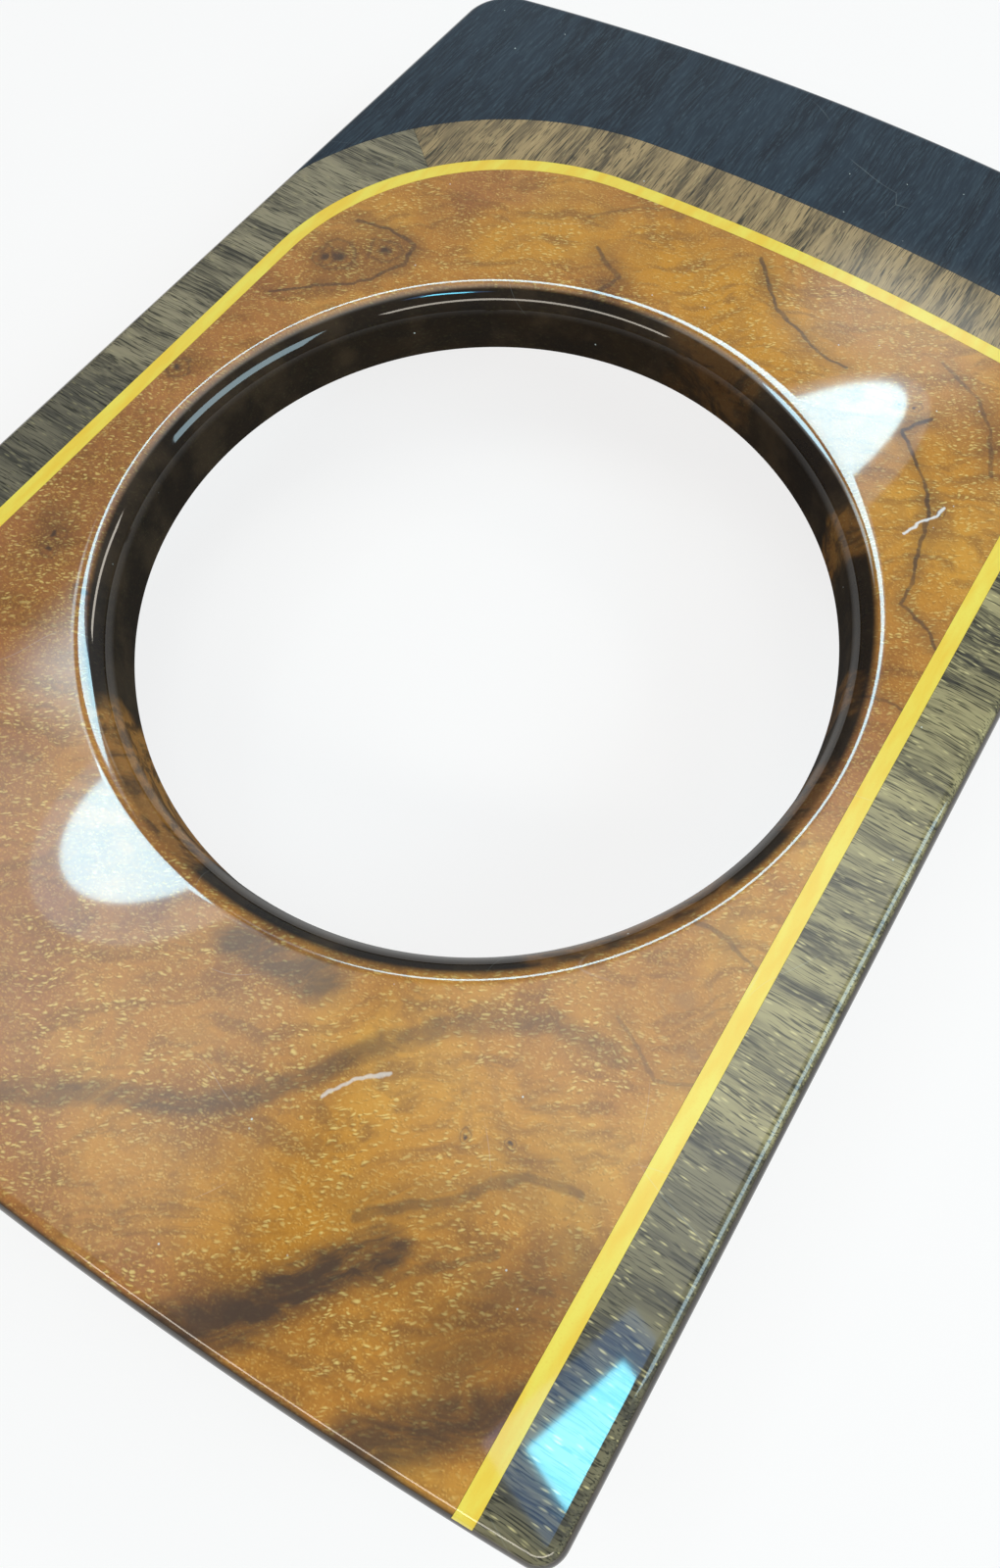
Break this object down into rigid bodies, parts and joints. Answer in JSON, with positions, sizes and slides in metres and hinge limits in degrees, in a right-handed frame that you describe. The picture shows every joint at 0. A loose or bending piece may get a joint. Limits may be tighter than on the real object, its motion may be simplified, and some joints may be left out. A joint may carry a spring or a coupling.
{
  "type": "console trim panel",
  "caption": "Lacquered burr walnut trim panel with a boxwood line, walnut crossbands and a dark end, a rolled round opening through it and studs on its back to fasten it to a console.",
  "frame": {"origin": "under the middle of the panel's outline, level with the tips of the four studs", "axes": "+X to the panel's right, +Y along its length towards the bowed dark end, +Z out of the show face"},
  "size_m": [0.1216, 0.1764, 0.0241],
  "materials": {
    "burr_walnut": "high gloss clear lacquer over burr walnut veneer",
    "boxwood": "high gloss clear lacquer over boxwood",
    "crossband_walnut": "high gloss clear lacquer over straight-grained walnut laid across the band",
    "dark_veneer": "high gloss clear lacquer over near-black stained veneer",
    "birch_plywood": "plywood with dark stained, lacquered edges",
    "plain_walnut": "sealed plain veneer, matt",
    "zinc_plate": "zinc-plated pressed steel",
    "steel": "zinc-plated steel"
  },
  "bodies": {
    "root": {"core_board": "birch_plywood", "balancing_veneer": "plain_walnut", "burr_field_veneer": "burr_walnut", "boxwood_stringing": "boxwood", "crossband_left": "crossband_walnut", "crossband_far": "crossband_walnut", "crossband_right": "crossband_walnut", "dark_end_veneer": "dark_veneer", "stud_retainer_near_left": "zinc_plate", "stud_retainer_near_right": "zinc_plate", "stud_retainer_far_left": "zinc_plate", "stud_retainer_far_right": "zinc_plate", "stud_near_left": "steel", "stud_near_right": "steel", "stud_far_left": "steel", "stud_far_right": "steel", "screw_near_left_left": "steel", "screw_near_left_right": "steel", "screw_near_right_left": "steel", "screw_near_right_right": "steel", "screw_far_left_left": "steel", "screw_far_left_right": "steel", "screw_far_right_left": "steel", "screw_far_right_right": "steel"}
  },
  "joints": []
}
